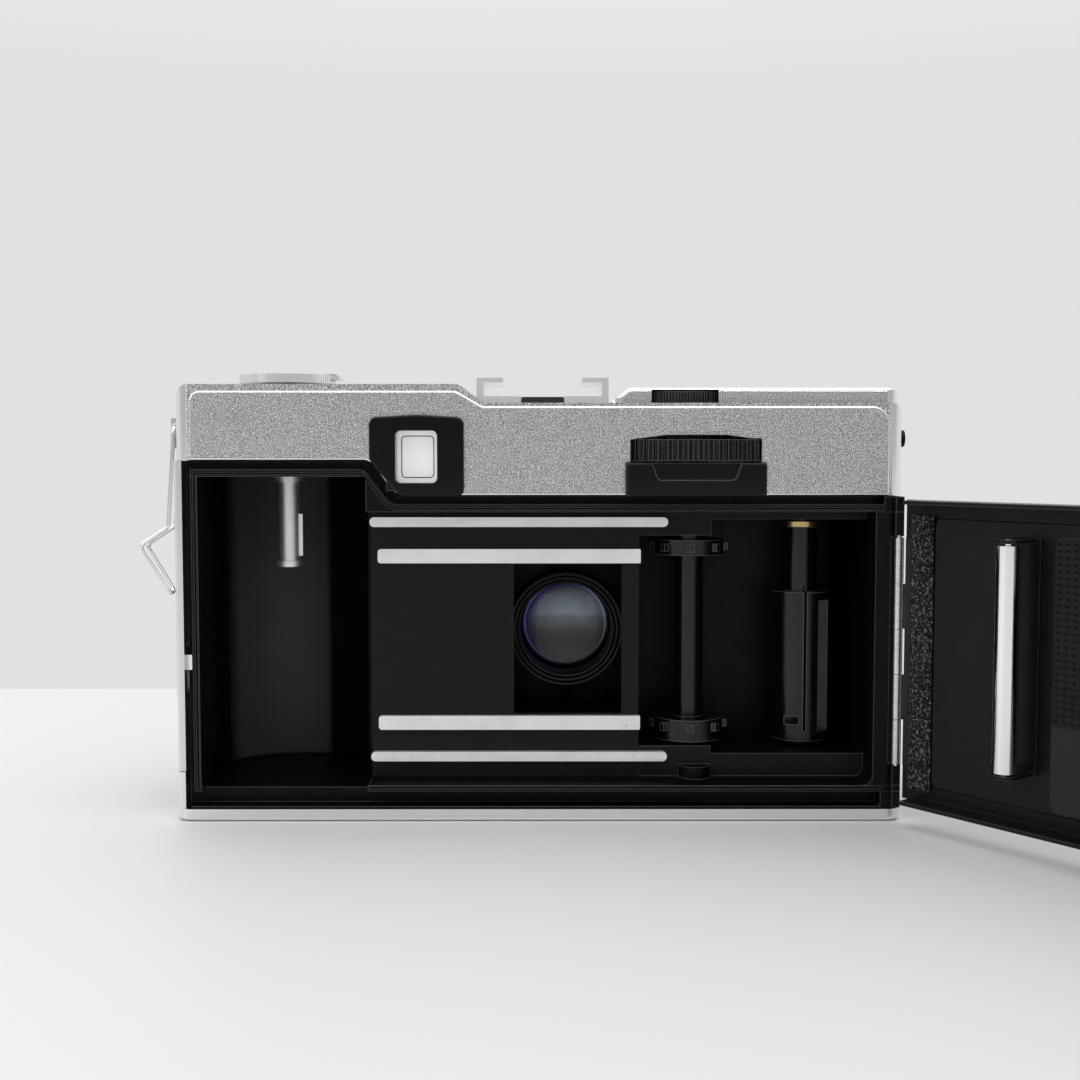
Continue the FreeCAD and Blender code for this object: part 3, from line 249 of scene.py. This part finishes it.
def hinge_metal():
    """Hinge leaves painted black, with a bare barrel about the hinge axis."""
    n = Nodes("hinge_metal", 1.0, 0.3, (0.7, 0.7, 0.7))
    x, y, z = n.axes()
    aside, behind = n.math("SUBTRACT", x, HINGE[0] * MM), n.math("SUBTRACT", y, (BACK + HINGE[1]) * MM)
    paint = n.span(n.reach(aside, behind), 0.64 * MM, 0.70 * MM, 0.0, 1.0)
    lines = n.noise(1500, 3.0, 0.6, n.mapped((0.1, 0.1, 3)))
    bare = n.ramp(lines, [(0.3, (0.55, 0.55, 0.56)), (0.7, (0.82, 0.82, 0.82))])
    n.colour(n.mix(paint, bare, (0.002, 0.002, 0.002)))
    n.link(n.math("SUBTRACT", 1.0, paint), n.bsdf.inputs["Metallic"])
    n.rough(n.span(lines, 0.3, 0.7, 0.28, 0.38))
    n.bump(lines, 0.15, 0.00003)
    return n.mat


def ringed_black():
    """Glossy black with fine turned grooves about the lens axis."""
    n = Nodes("ringed_black", 0.0, 0.2, (0.002,) * 3)
    n.bsdf.inputs["Specular IOR Level"].default_value = 0.2
    x, y, z = n.axes()
    radius = n.reach(x, n.math("SUBTRACT", z, AXIS_Z * MM))
    wave = n.math("SINE", n.math("MULTIPLY", radius, 2 * math.pi / (0.7 * MM)))
    n.rough(n.span(n.noise(600, 3.0), 0.3, 0.7, 0.14, 0.24))
    n.bump(wave, 0.6, 0.00012)
    return n.mat


def leatherette():
    """Black pebbled covering, darker towards the edges of each pebble as painted shade in the grooves."""
    n = Nodes("leatherette", 0.0, 0.5, (0.016, 0.016, 0.017))
    pebbles = n.cells(900)
    large = n.cells(520)
    height = n.math("ADD", pebbles, n.math("MULTIPLY", large, 0.6))
    # Painted shade: each pebble is darker towards the grooves round it.
    n.colour(n.ramp(pebbles, [(0.0, (0.024, 0.024, 0.025)), (0.5, (0.014, 0.014, 0.015)),
                              (0.9, (0.005, 0.005, 0.005))]))
    n.rough(n.span(pebbles, 0.0, 0.8, 0.42, 0.7))
    n.bump(n.math("SUBTRACT", 1.0, height), 0.8, 0.00018)
    return n.mat


def rail_metal():
    """Machined rails with cutter lines along X, worn spots and a few nicks."""
    n = Nodes("rail_metal", 0.75, 0.36, (0.8, 0.8, 0.8))
    lines = n.noise(1400, 4.0, 0.7, n.mapped((0.04, 1, 1)))
    worn = n.noise(150, 5.0, 0.75)
    nicks = n.span(n.noise(420, 4.0, 0.8), 0.71, 0.75, 0.0, 1.0)
    shade = n.ramp(worn, [(0.35, (0.80, 0.80, 0.80)), (0.55, (0.88, 0.88, 0.88)), (0.7, (0.92, 0.92, 0.92))])
    n.colour(n.mix(nicks, shade, (0.10, 0.095, 0.09)))
    n.rough(n.span(lines, 0.3, 0.7, 0.3, 0.5))
    n.bump(lines, 0.25, 0.00003)
    return n.mat


def plate_metal():
    """The black pressure plate with its grid of small dimples, darkened as painted shade, plain near its
    lower edge.
    """
    n = Nodes("plate_black", 0.0, 0.33, (0.006, 0.006, 0.006))
    n.bsdf.inputs["Specular IOR Level"].default_value = 0.16
    x, y, z = n.axes()
    along = n.math("ADD", n.math("MULTIPLY", x, math.cos(OPEN)), n.math("MULTIPLY", y, math.sin(OPEN)))
    waves = [n.math("COSINE", n.math("MULTIPLY", part, 2 * math.pi / pitch))
             for part, pitch in ((along, 1.2 * MM), (z, 0.9 * MM))]
    dimple = n.span(n.math("ADD", waves[0], waves[1]), 0.7, 1.6, 0.0, 1.0)
    area = n.span(z, 0.0199, 0.0202, 0.0, 1.0)
    dimple = n.math("MULTIPLY", dimple, area)
    # Painted shade: the dimples are darker than the plate between them.
    shaded_dimples = n.mix(dimple, (0.006, 0.006, 0.0065), (0.0005, 0.0005, 0.0005))
    n.colour(n.mix(area, (0.016, 0.016, 0.017), shaded_dimples))
    n.bump(n.math("SUBTRACT", 1.0, dimple), 0.9, 0.00025)
    return n.mat


def foam():
    """Crumbling black open cell foam with pale specks."""
    n = Nodes("foam", 0.0, 0.95, (0.006, 0.006, 0.006))
    n.bsdf.inputs["Specular IOR Level"].default_value = 0.2
    clumps = n.noise(2600, 6.0, 0.8)
    n.colour(n.ramp(clumps, [(0.40, (0.003, 0.003, 0.003)), (0.53, (0.014, 0.013, 0.012)),
                             (0.63, (0.30, 0.29, 0.28))]))
    n.bump(n.noise(2600, 5.0, 0.8), 1.0, 0.0003)
    return n.mat


def coated_glass(name, tint):
    """Clear glass with a thin coating and faint smears."""
    n = Nodes(name, 0.0, 0.02, tint, Transmission_Weight=1.0, IOR=1.52)
    n.bsdf.inputs["Coat Weight"].default_value = 0.6
    n.bsdf.inputs["Coat Roughness"].default_value = 0.01
    smear = n.noise(300, 2.0)
    n.rough(n.span(smear, 0.3, 0.7, 0.01, 0.03))
    return n.mat


def lens_shine():
    """The rear glass: an opaque stand-in with a painted grey blue reflection, darkest at the bottom and
    brightest a little above the middle, and a painted violet coating reflection at its rim, wider on one
    side.
    """
    n = Nodes("lens_shine", 0.5, 0.25, (0.3, 0.34, 0.38))
    x, y, z = n.axes()
    up = n.math("SUBTRACT", z, AXIS_Z * MM)
    radius = n.reach(x, up)
    # The violet rim is a painted coating reflection, wider on one side.
    side = n.math("ADD", n.math("MULTIPLY", x, 0.75), n.math("MULTIPLY", up, 0.65))
    rim = n.span(n.math("ADD", radius, n.math("MULTIPLY", side, 0.14)), 0.0062, 0.0074, 0.0, 1.0)
    # Painted reflection: darkest at the bottom, brightest a little above the middle.
    body = n.ramp(n.span(up, -0.0065, 0.0065, 0.0, 1.0), [
        (0.0, (0.03, 0.035, 0.035)), (0.30, (0.07, 0.08, 0.085)), (0.47, (0.11, 0.12, 0.125)),
        (0.56, (0.14, 0.16, 0.20)), (0.62, (0.26, 0.30, 0.36)), (1.0, (0.20, 0.24, 0.29))])
    n.colour(n.mix(rim, body, (0.05, 0.04, 0.22)))
    n.bsdf.inputs["Coat Weight"].default_value = 0.35
    n.bsdf.inputs["Coat Roughness"].default_value = 0.02
    n.rough(n.span(n.noise(400, 2.0), 0.3, 0.7, 0.22, 0.32))
    return n.mat


def cell_plate():
    """The brown plate of the light cell."""
    n = Nodes("cell_plate", 0.35, 0.3, (0.05, 0.028, 0.018))
    bands = n.noise(1400, 3.0, 0.6)
    n.colour(n.ramp(bands, [(0.3, (0.03, 0.016, 0.012)), (0.7, (0.085, 0.045, 0.03))]))
    n.rough(n.span(bands, 0.3, 0.7, 0.22, 0.4))
    return n.mat


def plain(name, colour, rough, metallic=0.0):
    """An even material with a light mottle."""
    n = Nodes(name, metallic, rough, colour)
    mottle = n.noise(700, 4.0, 0.6)
    n.rough(n.span(mottle, 0.3, 0.7, rough - 0.04, rough + 0.05))
    n.bump(n.noise(2400, 3.0), 0.08, 0.00003)
    return n.mat


CHROME = polished("bright_chrome")
SATIN = satin_chrome()
SHOE = polished("shoe_chrome", (0.95, 0.95, 0.95), 0.22)
SHAFT = polished("shaft_chrome", (0.88, 0.88, 0.88), 0.48, streak=(1, 1, 0.02))
# The spool black takes a stronger painted highlight on its sharp edges.
SPOOL = black_paint("spool_black", 0.002, 0.22, 900, 0.02, gloss=0.42, edge=0.3)
BRUSHED = polished("brushed_steel", (0.74, 0.74, 0.75), 0.30, marks=0.08, streak=(1, 1, 0.03))
CASTING = casting_black()
RINGED = ringed_black()
# Opaque and faintly lit, standing in for daylight coming through the finder.
FROST = plain("finder_glass", (0.95, 0.96, 0.95), 0.22)
glow = FROST.node_tree.nodes["Principled BSDF"].inputs
glow["Emission Color"].default_value = (0.95, 0.97, 0.96, 1)
glow["Emission Strength"].default_value = 0.32
SHEET_BLACK = black_paint("door_black", 0.008, 0.30, 3600, 0.10)
SATIN_BLACK = black_paint("satin_black", 0.003, 0.34, 4200, 0.08)
# Gloss and ring blacks also take a stronger painted highlight on their sharp edges.
GLOSS = black_paint("gloss_black", 0.0015, 0.14, 900, 0.02, coat=0.15, gloss=0.14, edge=0.3)
RIM = black_paint("ring_black", 0.003, 0.28, 2400, 0.06, gloss=0.18, edge=0.3)
HINGE_METAL = hinge_metal()
LEATHER = leatherette()
RAIL = rail_metal()
PLATE = plate_metal()
FOAM = foam()
GLASS = coated_glass("clear_glass", (0.94, 0.95, 0.95))
SHINE = lens_shine()
BRASS = plain("brass", (0.62, 0.47, 0.22), 0.28, 1.0)
DULL = plain("dull_plastic", (0.012, 0.012, 0.012), 0.6)
CELL = cell_plate()
WHITE = plain("mark_white", (0.8, 0.8, 0.78), 0.5)
RED = plain("mark_red", (0.55, 0.02, 0.02), 0.5)

FINISH = {
    SATIN: ["top_cover"],
    CHROME: ["bottom_cover", "strap_lug", "strap_ring", "shutter_button",
             "crank_handle", "latch_slider", "aperture_ring", "rewind_release",
             "film_roller"],
    SHOE: ["accessory_shoe", "rewind_knob", "rewind_crank"],
    SHAFT: ["rewind_shaft", "rewind_collar"],
    BRUSHED: ["side_frame", "hinge_pin", "base_screws", "tripod_bush",
              "idler_gear", "spool_gear", "shutter_blade_a", "shutter_blade_b", "lens_base_ring"],
    CASTING: ["body_casting", "light_baffle", "finder_tube"],
    SHEET_BLACK: ["door_shell", "roller_bracket", "pressure_spring"],
    RINGED: ["rear_lens_ring"],
    HINGE_METAL: ["hinge_leaf_door", "hinge_leaf_body"],
    FROST: ["eyepiece_lens"],
    SATIN_BLACK: ["shutter_housing", "front_barrel", "sync_socket"],
    RIM: ["cell_holder", "iso_ring", "wind_wheel", "counter_dial"],
    GLOSS: ["eyepiece_frame", "finder_bezel", "wheel_housing"],
    SPOOL: ["sprocket_shaft", "take_up_spool"],
    LEATHER: ["front_covering", "door_covering"],
    RAIL: ["film_rails"],
    PLATE: ["pressure_plate"],
    FOAM: ["door_foam"],
    GLASS: ["finder_window", "counter_window", "cell_window", "front_lens"],
    SHINE: ["rear_lens"],
    BRASS: ["spool_ring", "shoe_contact"],
    DULL: ["shoe_insulator"],
    CELL: ["selenium_cell"],
}
for material, names in FINISH.items():
    for name in names:
        nodes[name].data.materials.clear()
        nodes[name].data.materials.append(material)


# ---- helpers for pieces --------------------------------------------------


def add_mesh(name, verts, faces, material, body, smooth=True):
    mesh = bpy.data.meshes.new(name)
    mesh.from_pydata([tuple(v) for v in verts], [], faces)
    mesh.validate()
    mesh.materials.append(material)
    for face in mesh.polygons:
        face.use_smooth = smooth
    made = bpy.data.objects.new(name, mesh)
    bpy.context.scene.collection.objects.link(made)
    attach(made, body)
    return made


def lathe(profile, steps=96):
    """Turns (radius, distance in front of the back edge) pairs about the lens axis."""
    verts = []
    for radius, ahead in profile:
        for k in range(steps):
            a = 2 * math.pi * k / steps
            verts.append(mm(radius * math.cos(a), -ahead, AXIS_Z + radius * math.sin(a)))
    faces = []
    for row in range(len(profile) - 1):
        for k in range(steps):
            j = (k + 1) % steps
            faces.append((row * steps + k, row * steps + j, (row + 1) * steps + j, (row + 1) * steps + k))
    return verts, faces


def dome(edge_r, edge_at, rise, steps=10):
    """Points of a shallow dome from its edge to its middle."""
    points = []
    for k in range(steps + 1):
        r = edge_r * (1 - k / steps)
        points.append((max(r, 0.002), edge_at + rise * (1 - (r / edge_r) ** 2)))
    return points


# Rear glass, curved away from the film.
profile = dome(7.45, 27.1, 1.6)[::-1] + [(7.45, 29.4)] + dome(7.45, 29.4, 0.05)[1:]
verts, faces = lathe(profile)
rear_glass = add_mesh("rear_glass", verts, faces, SHINE, "camera")
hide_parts("rear_lens")
# Front glass, bulging forwards.
profile = dome(5.5, 37.3, 0.02)[::-1] + [(5.5, 38.3)] + dome(5.5, 38.3, 1.15)[1:]
verts, faces = lathe(profile)
front_glass = add_mesh("front_glass", verts, faces, GLASS, "camera")
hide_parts("front_lens")

def on_door(s, y, z):
    """A point on the open door, given in millimetres from the hinge axis with the door shut."""
    return mm(HINGE[0] + s * math.cos(OPEN) - y * math.sin(OPEN),
              HINGE[1] + s * math.sin(OPEN) + y * math.cos(OPEN), z)


# Foam strip beside the hinge.
across, up = 8, 90
verts = []
for i in range(across + 1):
    for j in range(up + 1):
        s = 2.15 + 3.7 * i / across
        z = 5.65 + 41.2 * j / up
        edge = min(i, across - i) / (across / 2)
        y = 0.62 - 0.5 * math.sqrt(max(edge * (2 - edge), 0)) + random.uniform(-0.05, 0.05)
        s += random.uniform(-0.05, 0.05) * (0 < i < across)
        verts.append(on_door(s, max(y, 0.03), z))
faces = []
for i in range(across):
    for j in range(up):
        near, far = i * (up + 1) + j, (i + 1) * (up + 1) + j
        faces.append((near, far, far + 1, near + 1))
foam_strip = add_mesh("foam_strip", verts, faces, FOAM, "door", smooth=False)
solid = foam_strip.modifiers.new("thickness", "SOLIDIFY")
solid.thickness = 0.3 * MM
solid.offset = 1
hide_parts("door_foam")

# Bubbled window over the light cell: a flat ring with three rows of bubbles.
RINGS, SIDES = 4, 10
verts, faces = lathe([(13.3, 38.7), (13.3, 39.0), (18.9, 39.0), (18.9, 38.7), (13.3, 38.7)], 128)
for ring_r, count in ((14.35, 40), (16.1, 45), (17.85, 50)):
    bubble = math.pi * ring_r / count * 0.92
    for k in range(count):
        a = 2 * math.pi * (k + 0.5) / count
        cx, cz = ring_r * math.cos(a), AXIS_Z + ring_r * math.sin(a)
        start = len(verts)
        for ring in range(RINGS):
            t = ring / RINGS * math.pi / 2
            for q in range(SIDES):
                b = 2 * math.pi * q / SIDES
                verts.append(mm(cx + bubble * math.cos(t) * math.cos(b), -(39.0 + 0.72 * math.sin(t)),
                                cz + bubble * math.cos(t) * math.sin(b)))
        top = len(verts)
        verts.append(mm(cx, -39.72, cz))
        for ring in range(RINGS - 1):
            low = start + ring * SIDES
            for q in range(SIDES):
                p = (q + 1) % SIDES
                faces.append((low + q, low + p, low + SIDES + p, low + SIDES + q))
        last = start + (RINGS - 1) * SIDES
        for q in range(SIDES):
            faces.append((last + q, last + (q + 1) % SIDES, top))
bubbles = add_mesh("bubble_window", verts, faces, GLASS, "camera")
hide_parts("cell_window")


def loop_line(name, corners, width, material, body, at):
    """A thin flat line round a rounded rectangle, facing the back. corners is x0, x1, z0, z1 and bend."""
    x0, x1, z0, z1, bend = corners
    path = []
    for cx, cz, a0 in ((x1 - bend, z1 - bend, 0), (x0 + bend, z1 - bend, 90), (x0 + bend, z0 + bend, 180),
                       (x1 - bend, z0 + bend, 270)):
        for k in range(7):
            a = math.radians(a0 + 15 * k)
            path.append((cx, cz, math.cos(a), math.sin(a)))
    verts, faces = [], []
    for cx, cz, u, v in path:
        for r in (bend, bend - width):
            verts.append(mm(cx + u * r, at, cz + v * r))
    n = len(path)
    for k in range(n):
        j = (k + 1) % n
        faces.append((2 * k, 2 * k + 1, 2 * j + 1, 2 * j))
    return add_mesh(name, verts, faces, material, body, False)


loop_line("finder_line", (20.35, 25.35, 52.3, 58.7, 0.7), 0.14, DULL, "camera", -1.66)


def ring_marks(name, body, turns, near, far, at, material):
    """Short radial marks on the front face of a ring about the lens axis."""
    verts, faces = [], []
    for turn in turns:
        a = math.radians(turn)
        out, side = (math.cos(a), math.sin(a)), (-math.sin(a), math.cos(a))
        start = len(verts)
        for r, w in ((near, -0.14), (near, 0.14), (far, 0.14), (far, -0.14)):
            verts.append(mm(out[0] * r + side[0] * w, -at, AXIS_Z + out[1] * r + side[1] * w))
        faces.append((start, start + 1, start + 2, start + 3))
    return add_mesh(name, verts, faces, material, body, False)


def dial_marks(name, body, centre, count, near, far, at, material):
    """Short radial marks on the top face of the frame counter dial."""
    verts, faces = [], []
    for k in range(count):
        a = 2 * math.pi * k / count
        reach = near + 0.9 * (k % 2)
        start = len(verts)
        for r, w in ((reach, -0.09), (far, -0.09), (far, 0.09), (reach, 0.09)):
            verts.append(mm(centre[0] + math.cos(a) * r - math.sin(a) * w,
                            centre[1] + math.sin(a) * r + math.cos(a) * w, at))
        faces.append((start, start + 1, start + 2, start + 3))
    return add_mesh(name, verts, faces, material, body, False)


ring_marks("film_speed_marks", "iso_ring", [20 + 28 * k for k in range(6)], 10.2, 11.7, 41.22, WHITE)
ring_marks("film_speed_index", "iso_ring", [270], 10.2, 11.7, 41.22, RED)
dial_marks("counter_marks", "counter", (-17.7, -9.9), 36, 4.4, 6.6, 64.83, WHITE)


# ---- room, light and camera ---------------------------------------------


def stage_plane(name, corners, material):
    mesh = bpy.data.meshes.new(name)
    mesh.from_pydata(corners, [], [(0, 1, 2, 3)])
    mesh.materials.append(material)
    made = bpy.data.objects.new(name, mesh)
    bpy.context.scene.collection.objects.link(made)
    return made


# From the main view the floor ends 104 mm beyond the tripod socket, and the pale world shows past it.
paper = Nodes("paper", 0.0, 0.55, (0.66, 0.665, 0.67))
paper.bump(paper.noise(260, 4.0), 0.04, 0.0001)
stage_plane("floor", [(-3, -0.104, 0), (3, -0.104, 0), (3, 3, 0), (-3, 3, 0)], paper.mat)

# A pale wall on one side, greyer on the other, with a bright ceiling for the metal to reflect.
world = bpy.data.worlds.new("studio")
bpy.context.scene.world = world
world.use_nodes = True
tree = world.node_tree
back = tree.nodes["Background"]
coords = tree.nodes.new("ShaderNodeTexCoord")
split = tree.nodes.new("ShaderNodeSeparateXYZ")
tree.links.new(coords.outputs["Generated"], split.inputs[0])
ramp = tree.nodes.new("ShaderNodeValToRGB")
span = tree.nodes.new("ShaderNodeMapRange")
span.inputs[1].default_value = -1.0
tree.links.new(split.outputs["Y"], span.inputs[0])
tree.links.new(span.outputs[0], ramp.inputs["Fac"])
ramp.color_ramp.elements[0].position = 0.45
ramp.color_ramp.elements[0].color = (0.737, 0.760, 0.753, 1)
ramp.color_ramp.elements[1].position = 0.75
ramp.color_ramp.elements[1].color = (0.42, 0.43, 0.43, 1)
above = tree.nodes.new("ShaderNodeMapRange")
above.inputs[1].default_value = 0.25
above.inputs[4].default_value = 1.0
tree.links.new(split.outputs["Z"], above.inputs[0])
join = tree.nodes.new("ShaderNodeMix")
join.data_type = "RGBA"
join.inputs[7].default_value = (1.5, 1.5, 1.5, 1)
tree.links.new(above.outputs[0], join.inputs[0])
tree.links.new(ramp.outputs["Color"], join.inputs[6])
tree.links.new(join.outputs[2], back.inputs["Color"])
back.inputs["Strength"].default_value = 1.0


def area_light(name, at, aim, size, power):
    data = bpy.data.lights.new(name, "AREA")
    data.shape = "RECTANGLE"
    data.size, data.size_y = size
    data.energy = power
    made = bpy.data.objects.new(name, data)
    made.location = at
    made.rotation_mode = "QUATERNION"
    made.rotation_quaternion = (Vector(aim) - Vector(at)).to_track_quat("-Z", "Y")
    bpy.context.scene.collection.objects.link(made)


area_light("top", (0.05, 0.10, 0.60), (0, 0, 0.03), (0.7, 0.5), 0.8)
area_light("left", (0.55, 0.35, 0.35), (0, 0, 0.04), (0.3, 0.4), 0.8)

# The main view, almost square to the back.
data = bpy.data.cameras.new("camera")
data.sensor_width = 36.0
data.lens = 45.78667
data.clip_start = 0.01
camera = bpy.data.objects.new("camera", data)
bpy.context.scene.collection.objects.link(camera)
pitch, yaw = -0.063, 0.0021
ahead = Vector((-math.sin(yaw) * math.cos(pitch), -math.cos(yaw) * math.cos(pitch), math.sin(pitch)))
camera.location = mm(4.7735, 206.91, 56.022)
camera.rotation_mode = "QUATERNION"
camera.rotation_quaternion = ahead.to_track_quat("-Z", "Y")
bpy.context.scene.camera = camera
bpy.context.scene.view_settings.view_transform = "Standard"
